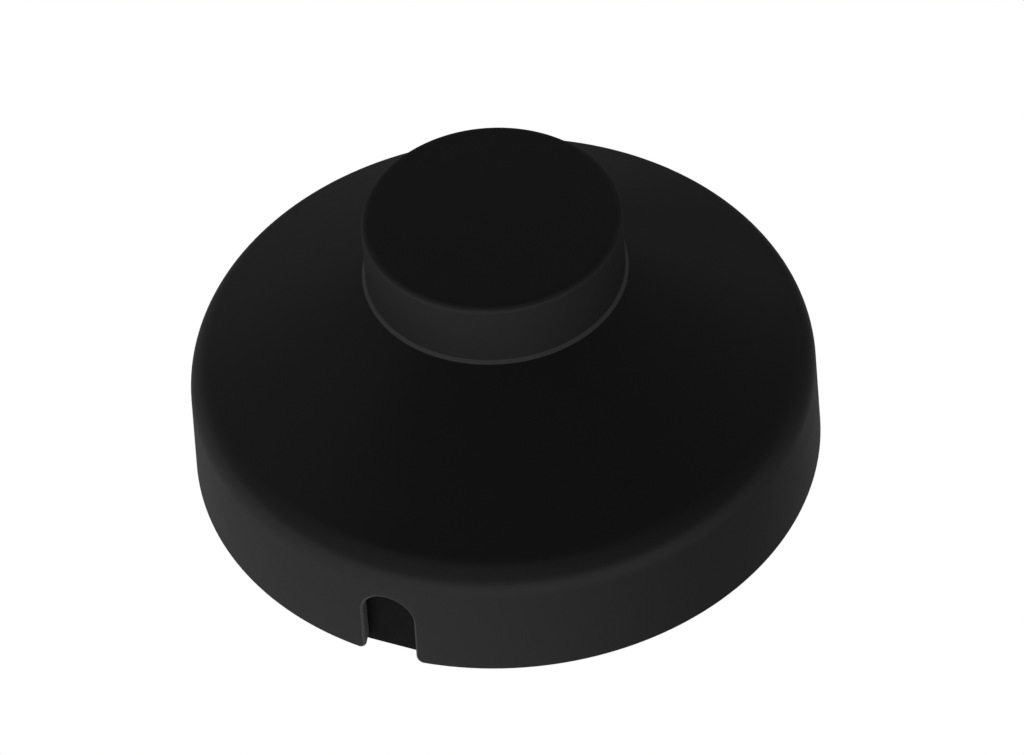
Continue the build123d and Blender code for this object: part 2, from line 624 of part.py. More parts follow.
# ---- Base plate -----------------------------------------------------------
def link_tray(side):
    """Low walls that hold a through-link, open at both ends for the wires."""
    half_x = LINK_WIDTH / 2 + TRAY_PLAY
    half_y = LINK_LENGTH / 2 + TRAY_PLAY
    top = BASE_TOP_Z + TRAY_HEIGHT
    outer = block((-half_x - TRAY_WALL, -half_y - TRAY_WALL, BASE_TOP_Z - ROOT),
                  (half_x + TRAY_WALL, half_y + TRAY_WALL, top))
    room = block((-half_x, -half_y, BASE_TOP_Z - 1), (half_x, half_y, top + 1))
    wire_gap = block((-WIRE_GAP / 2, -LINK_LENGTH, BASE_TOP_Z + WIRE_GAP_SILL),
                     (WIRE_GAP / 2, LINK_LENGTH, top + 1))
    return Pos(side * LINK_X, 0, 0) * (outer - room - wire_gap)


def terminal_plinth(side):
    """Block under a line terminal, with a cheek on each side of it."""
    half_x = TERMINAL_WIDTH / 2 + TRAY_PLAY
    ends = sorted((side * (HOUSING_SIZE / 2 + 0.1), side * (TERMINAL_Y + TERMINAL_LENGTH / 2 + 0.4)))
    plinth = block((-half_x - TRAY_WALL, ends[0], BASE_TOP_Z - ROOT),
                   (half_x + TRAY_WALL, ends[1], LEAF_Z + PLINTH_CHEEK))
    return plinth - block((-half_x, ends[0] - 1, LEAF_Z), (half_x, ends[1] + 1, LEAF_Z + PLINTH_CHEEK + 1))


def cord_throat(side):
    """Clamp posts, guide cheeks and grip ridges where the cord comes in."""
    y = side * CLAMP_Y
    low = BASE_TOP_Z - ROOT
    pieces = [disc(CLAMP_POST_RADIUS, low, CLAMP_SEAT_Z, x, y) for x in (-CLAMP_SCREW_X, CLAMP_SCREW_X)]
    inner_y = BLANK_FACE_Y - BLANK_THICKNESS
    ends = sorted((side * inner_y, side * (CLAMP_Y + CLAMP_WIDTH / 2 + 0.3)))
    for low_x in (-THROAT_HALF_WIDTH - THROAT_WALL, THROAT_HALF_WIDTH):
        pieces.append(block((low_x, ends[0], low), (low_x + THROAT_WALL, ends[1], THROAT_TOP_Z)))
    half = THROAT_HALF_WIDTH - 0.1
    for middle in (y - FLOOR_RIDGE_OFFSET, y + FLOOR_RIDGE_OFFSET):
        pieces.append(block((-half, middle - FLOOR_RIDGE_WIDTH / 2, low),
                            (half, middle + FLOOR_RIDGE_WIDTH / 2, BASE_TOP_Z + FLOOR_RIDGE_HEIGHT)))
    return pieces


def base_plate():
    """Round bottom plate that carries the mechanism, terminals, clamps and feet."""
    plate = disc(BASE_RADIUS, BASE_BOTTOM_Z, BASE_TOP_Z)
    plate += ring(BASE_RADIUS, BASE_RADIUS - BASE_RIM_THICKNESS, BASE_TOP_Z - ROOT, BASE_RIM_TOP_Z)
    plate -= block((-BASE_RIM_GAP / 2, -SKIRT_RADIUS, BASE_TOP_Z),
                   (BASE_RIM_GAP / 2, SKIRT_RADIUS, BASE_RIM_TOP_Z + 1))
    frame_half = HOUSING_SIZE / 2 + 0.1
    frame_wide = frame_half + TRAY_WALL
    frame = block((-frame_wide, -frame_wide, BASE_TOP_Z - ROOT), (frame_wide, frame_wide, BASE_TOP_Z + 1.5))
    plate += frame - block((-frame_half, -frame_half, 0), (frame_half, frame_half, BASE_TOP_Z + 9))
    for side in (-1, 1):
        plate += link_tray(side)
        plate += terminal_plinth(side)
        for piece in cord_throat(side):
            plate += piece
        ends = sorted((side * (BLANK_FACE_Y - BLANK_THICKNESS), side * SKIRT_RADIUS))
        half = BLANK_WIDTH / 2 + BLANK_PLAY
        plate -= block((-half, ends[0], 0), (half, ends[1], BASE_TOP_Z + 20))
        for x in (-CLAMP_SCREW_X, CLAMP_SCREW_X):
            plate -= disc(CLAMP_HOLE_RADIUS - 0.1, BASE_BOTTOM_Z + 0.8, CLAMP_SEAT_Z + 1, x, side * CLAMP_Y)
    for x, y in around(COVER_SCREW_CIRCLE, COVER_SCREW_ANGLES):
        plate += disc(BASE_BOSS_RADIUS, BASE_TOP_Z - ROOT, BASE_BOSS_TOP_Z, x, y)
        plate -= disc(COVER_SCREW_WELL_RADIUS, 0, COVER_SCREW_SEAT_Z, x, y)
        plate -= disc(COVER_SCREW_HOLE_RADIUS, 0, BASE_BOSS_TOP_Z + 1, x, y)
    for x, y in around(FOOT_CIRCLE, FOOT_ANGLES):
        plate -= disc(FOOT_RADIUS + 0.1, 0, BASE_BOTTOM_Z + FOOT_RECESS, x, y)
    for x, y in screw_corners():
        plate -= disc(CORNER_HOLE_RADIUS - 0.1, BASE_BOTTOM_Z + 0.5, BASE_TOP_Z + 1, x, y)
    return plate


def cover_screws():
    """Screws from below into the cover's bosses."""
    one = screw(head_radius=2.8, head_height=1.8, thread_radius=1.5, length=9.5, pitch=1.2)
    places = around(COVER_SCREW_CIRCLE, COVER_SCREW_ANGLES)
    return group(Pos(x, y, COVER_SCREW_SEAT_Z) * Rot(180, 0, 0) * one for x, y in places)


def rubber_feet():
    """Round pads set into the base plate."""
    pad = disc(FOOT_RADIUS, 0, BASE_BOTTOM_Z + FOOT_RECESS)
    pad = fillet(pad.edges().group_by(Axis.Z)[0], 0.35)
    return group(Pos(x, y, 0) * pad for x, y in around(FOOT_CIRCLE, FOOT_ANGLES))


NODES = {
    "top_cover": top_cover(),
    "push_button": push_button(),
    "ratchet_plunger": ratchet_plunger(),
    "return_spring": return_spring(),
    "ratchet_rotor": ratchet_rotor(),
    "contact_bridge": contact_bridge(),
    "rotor_pivot": rotor_pivot(),
    "mechanism_housing": mechanism_housing(),
    "mechanism_lid": mechanism_lid(),
    "mechanism_screws": mechanism_screws(),
    "line_in_contact": contact_leaf(-1),
    "line_out_contact": contact_leaf(1),
    "contact_rivets": contact_rivets(),
    "line_in_terminal": line_terminal(-1),
    "line_out_terminal": line_terminal(1),
    "neutral_link": through_link(-1),
    "earth_link": through_link(1),
    "terminal_screws": terminal_screws(),
    "front_cord_clamp": cord_clamp(-1),
    "rear_cord_clamp": cord_clamp(1),
    "cord_clamp_screws": cord_clamp_screws(),
    "base_plate": base_plate(),
    "cover_screws": cover_screws(),
    "rubber_feet": rubber_feet(),
    "front_entry_blank": entry_blank(True),
    "rear_entry_blank": entry_blank(False),
}

for name, shape in NODES.items():
    export_step(shape, f"parts/{name}.step")
    print(f"{name}: {shape.volume:.1f} mm3")
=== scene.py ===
import json
import math

import bmesh
import bpy
from mathutils import Matrix, Vector


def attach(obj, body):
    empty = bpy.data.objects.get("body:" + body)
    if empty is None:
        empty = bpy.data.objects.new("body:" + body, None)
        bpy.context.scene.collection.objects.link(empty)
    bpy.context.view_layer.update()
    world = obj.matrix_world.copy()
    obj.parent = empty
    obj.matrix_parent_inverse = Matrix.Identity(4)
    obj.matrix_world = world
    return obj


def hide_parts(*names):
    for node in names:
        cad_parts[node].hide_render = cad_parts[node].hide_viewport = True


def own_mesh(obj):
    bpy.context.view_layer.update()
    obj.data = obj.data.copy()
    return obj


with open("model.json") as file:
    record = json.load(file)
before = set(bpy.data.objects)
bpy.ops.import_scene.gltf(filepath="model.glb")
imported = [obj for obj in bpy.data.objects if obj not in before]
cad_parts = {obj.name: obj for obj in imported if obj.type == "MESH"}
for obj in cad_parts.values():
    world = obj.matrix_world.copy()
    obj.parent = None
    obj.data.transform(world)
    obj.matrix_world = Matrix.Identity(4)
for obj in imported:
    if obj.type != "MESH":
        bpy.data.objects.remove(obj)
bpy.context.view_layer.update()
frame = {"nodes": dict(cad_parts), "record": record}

# Looks of a round in-line foot switch. Metres, in the CAD frame: +Z up, floor at 0, cord along Y.
# The cover, the button and the spring are rebuilt here with fine meshes; every other CAD node stays
# as it is and only gets a material.

MM = 0.001
TURNED_SEGMENTS = 192
BOSS_SEGMENTS = 48
HOLE_SEGMENTS = 32
ON_AXIS = 1e-6
WELD_DISTANCE = 0.0005

# ---- Sizes of the rebuilt pieces, in millimetres ------------------------------
# They are the CAD's, except that the lip stands a little higher and closes up to the button, and that
# a cord entry is slightly wider and its walls spread inwards.
STAND_OFF = 0.5
SKIRT_RADIUS = 31.5
SHOULDER_RADIUS = 31.2
SHOULDER_Z = STAND_OFF + 12.35
SHOULDER_FILLET = 4.8
ROOF_TOP_RADIUS = 13.25
ROOF_TOP_Z = STAND_OFF + 24.1
LIP_TOP_Z = STAND_OFF + 24.46
LIP_FOOT_RADIUS = 13.18
LIP_COVE = 0.3
BUTTON_HOLE_RADIUS = 12.856
WALL = 1.8
INNER_FILLET = 3.0
INNER_FOOT_FILLET = 0.2
COLLAR_RADIUS = 15.0
COLLAR_Z = STAND_OFF + 21.0
COLLAR_FILLET = 0.15
BOSS_CIRCLE = 24.0
BOSS_RADIUS = 2.8
BOSS_LOW_Z = STAND_OFF + 4.4
BOSS_HOLE_RADIUS = 1.6
BOSS_HOLE_TOP_Z = STAND_OFF + 13.2
BOSS_ROOT = 0.6
BOSS_CONE = 2.2
BOSS_ANGLES = (0, 120, 240)
RIB_DEPTH = 2.4
RIB_INNER_DEPTH = 0.6
RIB_WIDTH = 1.1
RIB_GAP = 0.2
RIB_SHOULDER = 2.0
RIB_ANGLES = (30, 60, 150, 180, 210, 300, 330)
ROOT = 0.5
CUT_CLEARANCE = 1.0
ENTRY_WIDTH = 5.32
ENTRY_HEIGHT = 8.3
ENTRY_FOOT_FILLET = 0.9
ENTRY_FOOT_START = 80
ENTRY_FOOT_STEPS = 8
ENTRY_ARCH_STEPS = 16
FOOT_EDGE = 0.4
ENTRY_EDGE = 0.38
ENTRY_EDGE_STEP = 15
# How far the painted highlight on a cord entry reaches past the opening, and how deep into the skirt it
# begins.
PAINTED_HIGHLIGHT_REACH = ENTRY_EDGE * 0.95
PAINTED_HIGHLIGHT_DEPTH = ENTRY_EDGE * 0.03
ENTRY_SPREAD = 1.38
CUT_BELOW = 2.0
CUT_OUTSIDE = 3.0
CUT_INSIDE = 5.0
BLANK_FACE_Y = 29.75
BLANK_WIDTH = 8.4
BLANK_HEIGHT = 9.2
BLANK_PLAY = 0.08
POCKET_DEPTH = 3.0
POCKET_CLEARANCE = 0.03
BUTTON_RADIUS = 12.85
BUTTON_TOP_Z = STAND_OFF + 31.55
BUTTON_EDGE = 0.8
BUTTON_WALL = 1.6
BUTTON_ROOF = 1.8
FLANGE_RADIUS = 14.6
FLANGE_TOP_Z = COLLAR_Z - 0.1
FLANGE_THICKNESS = 1.2
FLANGE_ROOT_FILLET = 0.1
FLANGE_EDGE = 0.15
EASED_EDGE = 0.2
CEILING_FILLET = 0.4
SOCKET_RADIUS = 3.6
SOCKET_BORE = 2.32
SOCKET_LOW_Z = STAND_OFF + 21.2
SOCKET_FILLET = 0.3
SEAT_OUTER = 6.8
SEAT_INNER = 6.0
SEAT_DEPTH = 1.0
SPRING_RADIUS = 7.5
SPRING_WIRE = 0.9
SPRING_WIRE_SIDES = 14
SPRING_DEAD_TURNS = 1.0
SPRING_WORKING_TURNS = 4.5
SPRING_DEAD_PITCH = SPRING_WIRE * 1.04
SPRING_SAMPLES = 420
SPRING_LOW_Z = STAND_OFF + 15.0
SPRING_HIGH_Z = BUTTON_TOP_Z - BUTTON_ROOF


# ---- Mesh helpers ----------------------------------------------------------
def rounded(corners, steps=8):
    """Closed outline from (radius, z, fillet) corners, with each fillet as an arc."""
    points = []
    for index, (radius, z, fillet) in enumerate(corners):
        here = Vector((radius, z))
        if fillet == 0:
            points.append(here)
            continue
        to_last = (Vector(corners[index - 1][:2]) - here).normalized()
        to_next = (Vector(corners[(index + 1) % len(corners)][:2]) - here).normalized()
        half = to_last.angle(to_next) / 2
        centre = here + (to_last + to_next).normalized() * (fillet / math.sin(half))
        start = here + to_last * (fillet / math.tan(half)) - centre
        end = here + to_next * (fillet / math.tan(half)) - centre
        sweep = start.angle_signed(end)
        for step in range(steps + 1):
            turn = Matrix.Rotation(-sweep * step / steps, 2)
            points.append(centre + turn @ start)
    return points


def rough_piece(mesh_maker, name):
    """Object from a bmesh, still in millimetres, its faces turned outwards."""
    bmesh.ops.recalc_face_normals(mesh_maker, faces=mesh_maker.faces)
    mesh = bpy.data.meshes.new(name)
    mesh_maker.to_mesh(mesh)
    mesh_maker.free()
    piece = bpy.data.objects.new(name, mesh)
    bpy.context.scene.collection.objects.link(piece)
    return piece


def finish_piece(piece, body, node, slot, sharp_degrees=35):
    """Scales a piece to metres, shades it smooth and sets it in a CAD node's place."""
    piece.data.transform(Matrix.Scale(MM, 4))
    piece.data.shade_smooth()
    piece.data.set_sharp_from_angle(angle=math.radians(sharp_degrees))
    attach(piece, body)
    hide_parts(node)
    piece.data.materials.append(materials[slot])


def add_turned(mesh_maker, outline, centre=(0.0, 0.0), segments=TURNED_SEGMENTS):
    """Adds a solid of revolution about an upright axis, from a closed (radius, z) outline."""
    rings = []
    for radius, z in outline:
        if radius < ON_AXIS:
            rings.append([mesh_maker.verts.new((centre[0], centre[1], z))])
            continue
        ring = []
        for index in range(segments):
            angle = 2 * math.pi * index / segments
            x = centre[0] + radius * math.cos(angle)
            y = centre[1] + radius * math.sin(angle)
            ring.append(mesh_maker.verts.new((x, y, z)))
        rings.append(ring)
    for lower, upper in zip(rings, rings[1:] + rings[:1]):
        if len(lower) == 1 and len(upper) == 1:
            continue
        for index in range(segments):
            following = (index + 1) % segments
            corners = []
            for ring, places in ((lower, (index, following)), (upper, (following, index))):
                if len(ring) == 1:
                    corners.append(ring[0])
                else:
                    corners += [ring[place] for place in places]
            mesh_maker.faces.new(corners)


def turned(name, outline):
    """Solid of revolution about the switch's own axis."""
    mesh_maker = bmesh.new()
    add_turned(mesh_maker, outline)
    return rough_piece(mesh_maker, name)


def add_loops(mesh_maker, loops):
    """Adds a closed solid whose skin runs through loops of equal length, capped at both ends."""
    rings = [[mesh_maker.verts.new(point) for point in loop] for loop in loops]
    count = len(rings[0])
    for lower, upper in zip(rings, rings[1:]):
        for index in range(count):
            following = (index + 1) % count
            mesh_maker.faces.new((lower[index], lower[following], upper[following], upper[index]))
    mesh_maker.faces.new(rings[0])
    mesh_maker.faces.new(rings[-1])


def add_box(mesh_maker, low, high, turn=0.0):
    """Adds a box between two corners, turned about Z by some degrees."""
    x0, y0, z0 = low
    x1, y1, z1 = high
    loops = [[(x0, y0, z), (x1, y0, z), (x1, y1, z), (x0, y1, z)] for z in (z0, z1)]
    about_z = Matrix.Rotation(math.radians(turn), 3, "Z")
    add_loops(mesh_maker, [[about_z @ Vector(point) for point in loop] for loop in loops])


def combine(piece, other, operation):
    """Exact boolean of a piece with another, which is then deleted."""
    modifier = piece.modifiers.new("combine", "BOOLEAN")
    modifier.operation = operation
    modifier.solver = "EXACT"
    modifier.object = other
    graph = bpy.context.evaluated_depsgraph_get()
    mesh = bpy.data.meshes.new_from_object(piece.evaluated_get(graph))
    piece.modifiers.clear()
    welder = bmesh.new()
    welder.from_mesh(mesh)
    bmesh.ops.remove_doubles(welder, verts=welder.verts, dist=WELD_DISTANCE)
    welder.to_mesh(mesh)
    welder.free()
    piece.data = mesh
    bpy.data.objects.remove(other)


def around(circle, angles):
    """Points on a circle about the switch's axis, at angles in degrees."""
    return [(circle * math.cos(math.radians(a)), circle * math.sin(math.radians(a))) for a in angles]


# ---- Cover -----------------------------------------------------------------
def skirt_radius(z):
    """Radius of the skirt's outside at a height; it leans in slightly upwards."""
    draft = (SKIRT_RADIUS - SHOULDER_RADIUS) / (SHOULDER_Z - STAND_OFF)
    return SKIRT_RADIUS - draft * (z - STAND_OFF)


def roof_z(radius):
    """Height of the roof's outside at a radius."""
    slope = (ROOF_TOP_Z - SHOULDER_Z) / (SHOULDER_RADIUS - ROOF_TOP_RADIUS)
    return ROOF_TOP_Z - slope * (radius - ROOF_TOP_RADIUS)


def under_roof_z(radius):
    """Height of the roof's inside at a radius."""
    rise = ROOF_TOP_Z - SHOULDER_Z
    run = SHOULDER_RADIUS - ROOF_TOP_RADIUS
    return roof_z(radius) - WALL * math.hypot(rise, run) / run


def inner_corner():
    """Radius and height where the insides of the skirt and the roof would meet."""
    radius = SHOULDER_RADIUS - WALL
    for _ in range(20):
        radius = skirt_radius(under_roof_z(radius)) - WALL
    return radius, under_roof_z(radius)


def cover_outline():
    """Section through the cover's shell, before its bosses, ribs and openings."""
    corner_radius, corner_z = inner_corner()
    corners = [(SKIRT_RADIUS - WALL, STAND_OFF, INNER_FOOT_FILLET), (SKIRT_RADIUS, STAND_OFF, FOOT_EDGE)]
    corners += [(SHOULDER_RADIUS, SHOULDER_Z, SHOULDER_FILLET)]
    corners += [(LIP_FOOT_RADIUS, roof_z(LIP_FOOT_RADIUS), LIP_COVE)]
    corners += [(BUTTON_HOLE_RADIUS, LIP_TOP_Z, 0)]
    corners += [(BUTTON_HOLE_RADIUS, COLLAR_Z, COLLAR_FILLET), (COLLAR_RADIUS, COLLAR_Z, 0)]
    corners += [(COLLAR_RADIUS, under_roof_z(COLLAR_RADIUS), 0)]
    corners += [(corner_radius, corner_z, INNER_FILLET)]
    return rounded(corners, steps=14)


def half_entry_outline():
    """Right half of an entry's outline from the foot up: (x, z) and the way out of the hole."""
    radius = ENTRY_WIDTH / 2
    points = []
    foot = ENTRY_FOOT_FILLET
    lowest = math.radians(ENTRY_FOOT_START)
    for step in range(ENTRY_FOOT_STEPS + 1):
        angle = lowest * (1 - step / ENTRY_FOOT_STEPS)
        away = (math.cos(angle), math.sin(angle))
        points.append((radius + foot * (1 - away[0]), STAND_OFF + foot * (1 - away[1]), *away))
    x, z, nx, nz = points[0]
    points = [(x + nz, STAND_OFF - CUT_BELOW, 0, 0), (x + nz, z - nx, nx, nz)] + points
    arch_z = STAND_OFF + ENTRY_HEIGHT - radius
    for step in range(ENTRY_ARCH_STEPS):
        angle = math.pi / 2 * step / ENTRY_ARCH_STEPS
        away = (math.cos(angle), math.sin(angle))
        points.append((radius * away[0], arch_z + radius * away[1], *away))
    return points


def entry_cutter(side):
    """Arched cutter for a cord entry. It flares out near the skirt, which leaves a rounded edge."""
    right = half_entry_outline()
    top = (0, STAND_OFF + ENTRY_HEIGHT, 0, 1)
    outline = right + [top] + [(-x, z, -nx, nz) for x, z, nx, nz in reversed(right)]
    outside = side * (SKIRT_RADIUS + CUT_OUTSIDE)
    inside = side * (SKIRT_RADIUS - CUT_INSIDE)
    loops = [[(x + nx * ENTRY_EDGE, outside, z + nz * ENTRY_EDGE) for x, z, nx, nz in outline]]
    for degrees in range(0, 91, ENTRY_EDGE_STEP):
        turn = math.radians(degrees)
        depth = ENTRY_EDGE * (1 - math.cos(turn))
        flare = ENTRY_EDGE * (1 - math.sin(turn))
        loop = []
        for x, z, nx, nz in outline:
            across = x + nx * flare
            up = z + nz * flare
            out = math.sqrt(skirt_radius(up) ** 2 - across ** 2) - depth
            loop.append((across, side * out, up))
        loops.append(loop)
    loops.append([(x * ENTRY_SPREAD, inside, z) for x, z, nx, nz in outline])
    mesh_maker = bmesh.new()
    add_loops(mesh_maker, loops)
    return rough_piece(mesh_maker, "cutter")


def cover_bosses():
    """Screw bosses that hang from the roof, each with a cone at its root."""
    mesh_maker = bmesh.new()
    for x, y in around(BOSS_CIRCLE, BOSS_ANGLES):
        reach = math.hypot(x, y) + BOSS_RADIUS
        top = under_roof_z(reach) + BOSS_ROOT
        outline = [(0, BOSS_LOW_Z), (BOSS_RADIUS, BOSS_LOW_Z), (BOSS_RADIUS, top), (0, top + BOSS_CONE)]
        add_turned(mesh_maker, outline, (x, y), BOSS_SEGMENTS)
    return rough_piece(mesh_maker, "bosses")


def cover_ribs():
    """Thin blades under the roof, sunk a little into it."""
    outer, corner_z = inner_corner()
    inner = COLLAR_RADIUS + RIB_GAP
    shoulder = outer - RIB_SHOULDER
    outline = [(inner, under_roof_z(inner) + ROOT), (outer + ROOT, under_roof_z(outer + ROOT) + ROOT)]
    outline += [(outer + ROOT, corner_z - RIB_DEPTH), (shoulder, under_roof_z(shoulder) - RIB_DEPTH)]
    outline += [(inner, under_roof_z(inner) - RIB_INNER_DEPTH)]
    mesh_maker = bmesh.new()
    for degrees in RIB_ANGLES:
        about_z = Matrix.Rotation(math.radians(degrees), 3, "Z")
        loops = []
        for across in (-RIB_WIDTH / 2, RIB_WIDTH / 2):
            loops.append([about_z @ Vector((radius, across, z)) for radius, z in outline])
        add_loops(mesh_maker, loops)
    return rough_piece(mesh_maker, "ribs")


def screw_holes():
    """Cutters for the blind holes in the bosses."""
    low = BOSS_LOW_Z - CUT_CLEARANCE
    outline = [(0, low), (BOSS_HOLE_RADIUS, low)]
    outline += [(BOSS_HOLE_RADIUS, BOSS_HOLE_TOP_Z), (0, BOSS_HOLE_TOP_Z)]
    mesh_maker = bmesh.new()
    for x, y in around(BOSS_CIRCLE, BOSS_ANGLES):
        add_turned(mesh_maker, outline, (x, y), HOLE_SEGMENTS)
    return rough_piece(mesh_maker, "screw_holes")


def blank_pockets():
    """Cutters for the flat pockets in the skirt's inside that hold the two entry blanks."""
    half = BLANK_WIDTH / 2 + BLANK_PLAY
    low = STAND_OFF - CUT_BELOW
    top = STAND_OFF + BLANK_HEIGHT + BLANK_PLAY
    outer = BLANK_FACE_Y + POCKET_CLEARANCE
    inner = BLANK_FACE_Y - POCKET_DEPTH
    mesh_maker = bmesh.new()
    for near, far in ((-outer, -inner), (inner, outer)):
        add_box(mesh_maker, (-half, near, low), (half, far, top))
    return rough_piece(mesh_maker, "pockets")


def is_lip(point):
    """Whether a point of the cover lies on the lip round the button."""
    above_collar = point.z > COLLAR_Z + COLLAR_FILLET
    return above_collar and math.hypot(point.x, point.y) < LIP_FOOT_RADIUS


def is_entry_edge(point):
    """Whether a point of the cover lies on the wall or the edge of a cord entry."""
    depth = skirt_radius(point.z) - math.hypot(point.x, point.y)
    in_width = abs(point.x) < ENTRY_WIDTH / 2 + PAINTED_HIGHLIGHT_REACH
    in_height = point.z < STAND_OFF + ENTRY_HEIGHT + PAINTED_HIGHLIGHT_REACH
    return in_width and in_height and depth > PAINTED_HIGHLIGHT_DEPTH and abs(point.y) > BLANK_FACE_Y


def make_cover():
    """Cover with a painted highlight, a paler colour, on its lip and on the walls and edges of its cord
    entries.
    """
    cover = turned("cover_shell", cover_outline())
    combine(cover, cover_bosses(), "UNION")
    combine(cover, cover_ribs(), "UNION")
    combine(cover, screw_holes(), "DIFFERENCE")
    combine(cover, entry_cutter(-1), "DIFFERENCE")
    combine(cover, entry_cutter(1), "DIFFERENCE")
    combine(cover, blank_pockets(), "DIFFERENCE")
    # Painted highlight: faces on the entry walls and edges and on the lip get the paler materials.
    for face in cover.data.polygons:
        if is_entry_edge(face.center):
            face.material_index = 1
        elif is_lip(face.center):
            face.material_index = 2
    finish_piece(cover, "switch_body", "top_cover", "black_moulding")
    cover.data.materials.append(materials["pale_edge"])
    cover.data.materials.append(materials["rubbed_lip"])


# ---- Button and spring ---------------------------------------------------------
def make_button():
    """Hollow cap with a flange, a seat for the spring and a socket for the plunger."""
    low = FLANGE_TOP_Z - FLANGE_THICKNESS
    ceiling = BUTTON_TOP_Z - BUTTON_ROOF
    inner = BUTTON_RADIUS - BUTTON_WALL
    seat_low = ceiling - SEAT_DEPTH
    corners = [(0, BUTTON_TOP_Z, 0), (BUTTON_RADIUS, BUTTON_TOP_Z, BUTTON_EDGE)]
    corners += [(BUTTON_RADIUS, FLANGE_TOP_Z, FLANGE_ROOT_FILLET)]
    corners += [(FLANGE_RADIUS, FLANGE_TOP_Z, FLANGE_EDGE), (FLANGE_RADIUS, low, EASED_EDGE)]
    corners += [(inner, low, EASED_EDGE), (inner, ceiling, CEILING_FILLET)]
    corners += [(SEAT_OUTER, ceiling, 0), (SEAT_OUTER, seat_low, EASED_EDGE)]
    corners += [(SEAT_INNER, seat_low, EASED_EDGE), (SEAT_INNER, ceiling, 0)]
    corners += [(SOCKET_RADIUS, ceiling, SOCKET_FILLET), (SOCKET_RADIUS, SOCKET_LOW_Z, EASED_EDGE)]
    corners += [(SOCKET_BORE, SOCKET_LOW_Z, EASED_EDGE), (SOCKET_BORE, ceiling, 0), (0, ceiling, 0)]
    button = turned("button_cap", rounded(corners, steps=12))
    finish_piece(button, "button", "push_button", "black_button")


def spring_path():
    """Points on the spring's middle line: dead coils at both ends, open coils between."""
    dead = SPRING_DEAD_TURNS
    working = SPRING_WORKING_TURNS
    turns = working + 2 * dead
    low = SPRING_LOW_Z + SPRING_WIRE / 2
    rise = SPRING_HIGH_Z - SPRING_LOW_Z - SPRING_WIRE
    dead_rise = SPRING_DEAD_PITCH * dead
    points = []
    for index in range(SPRING_SAMPLES + 1):
        turn = turns * index / SPRING_SAMPLES
        if turn < dead:
            z = dead_rise * (turn / dead)
        elif turn > turns - dead:
            z = rise - dead_rise * (turns - turn) / dead
        else:
            z = dead_rise + (rise - 2 * dead_rise) * (turn - dead) / working
        angle = 2 * math.pi * turn
        across = SPRING_RADIUS * math.cos(angle)
        along = SPRING_RADIUS * math.sin(angle)
        points.append(Vector((across, along, low + z)))
    return points


def make_spring():
    """Round wire swept along the spring's path, built at rest; nothing here squashes it as the button
    goes down.
    """
    path = spring_path()
    loops = []
    for index, point in enumerate(path):
        last = path[max(index - 1, 0)]
        following = path[min(index + 1, len(path) - 1)]
        along = (following - last).normalized()
        outward = Vector((point.x, point.y, 0)).normalized()
        outward = (outward - along * outward.dot(along)).normalized()
        upward = along.cross(outward)
        loop = []
        for step in range(SPRING_WIRE_SIDES):
            angle = 2 * math.pi * step / SPRING_WIRE_SIDES
            arm = outward * math.cos(angle) + upward * math.sin(angle)
            loop.append(point + arm * (SPRING_WIRE / 2))
        loops.append(loop)
    mesh_maker = bmesh.new()
    add_loops(mesh_maker, loops)
    spring = rough_piece(mesh_maker, "spring_coil")
    finish_piece(spring, "switch_body", "return_spring", "spring_steel", sharp_degrees=60)
    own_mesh(spring)


# ---- Materials ---------------------------------------------------------------
class Shader:
    """A node material with one Principled BSDF that reads the piece's own coordinates."""

    def __init__(self, name, **constants):
        self.material = bpy.data.materials.new(name)
        self.material.use_nodes = True
        self.tree = self.material.node_tree
        self.surface = self.tree.nodes["Principled BSDF"]
        for socket, value in constants.items():
            self.surface.inputs[socket.replace("_", " ")].default_value = value
        self.place = self.tree.nodes.new("ShaderNodeTexCoord").outputs["Object"]

    def node(self, kind, **settings):
        made = self.tree.nodes.new(kind)
        for key, value in settings.items():
            setattr(made, key, value)
        return made

    def link(self, source, target):
        self.tree.links.new(source, target)

    def noise(self, size_mm, detail=2.0, stretch=(1, 1, 1)):
        """Noise whose patches are about size_mm wide."""
        scaled = self.node("ShaderNodeMapping")
        scaled.inputs["Scale"].default_value = [s / (size_mm * MM) for s in stretch]
        self.link(self.place, scaled.inputs["Vector"])
        made = self.node("ShaderNodeTexNoise")
        made.inputs["Scale"].default_value = 1.0
        made.inputs["Detail"].default_value = detail
        self.link(scaled.outputs["Vector"], made.inputs["Vector"])
        return made.outputs["Fac"]

    def between(self, value, low, high, start=0.3, end=0.7):
        """Maps a value that runs from start to end onto low to high."""
        made = self.node("ShaderNodeMapRange")
        for socket, number in zip(("From Min", "From Max", "To Min", "To Max"), (start, end, low, high)):
            made.inputs[socket].default_value = number
        self.link(value, made.inputs["Value"])
        return made.outputs["Result"]

    def blend(self, factor, first, second):
        """Colour between two colours by a factor."""
        made = self.node("ShaderNodeMix", data_type="RGBA")
        for socket in made.inputs:
            if socket.name in ("A", "B") and socket.type == "RGBA":
                socket.default_value = (*(first if socket.name == "A" else second), 1)
        self.link(factor, made.inputs["Factor"])
        return [out for out in made.outputs if out.type == "RGBA"][0]

    def bump(self, height, depth_mm, strength=1.0, under=None):
        made = self.node("ShaderNodeBump")
        made.inputs["Strength"].default_value = strength
        made.inputs["Distance"].default_value = depth_mm * MM
        self.link(height, made.inputs["Height"])
        if under is not None:
            self.link(under, made.inputs["Normal"])
        return made.outputs["Normal"]

    def use(self, socket, value):
        self.link(value, self.surface.inputs[socket])


def satin_plastic(name, dark, light, rough, grain_mm, grain_depth_mm, gloss=0.5):
    """Injection-moulded plastic: fine spark-eroded grain, with slow changes in sheen."""
    shader = Shader(name, IOR=1.5, Specular_IOR_Level=gloss)
    patches = shader.noise(9.0, 3.0)
    shader.use("Base Color", shader.blend(shader.between(patches, 0, 1), dark, light))
    sheen = shader.noise(2.2, 4.0)
    shader.use("Roughness", shader.between(sheen, rough[0], rough[1]))
    waves = shader.bump(shader.noise(6.0, 1.0), 0.012)
    shader.use("Normal", shader.bump(shader.noise(grain_mm, 2.0), grain_depth_mm, under=waves))
    return shader.material


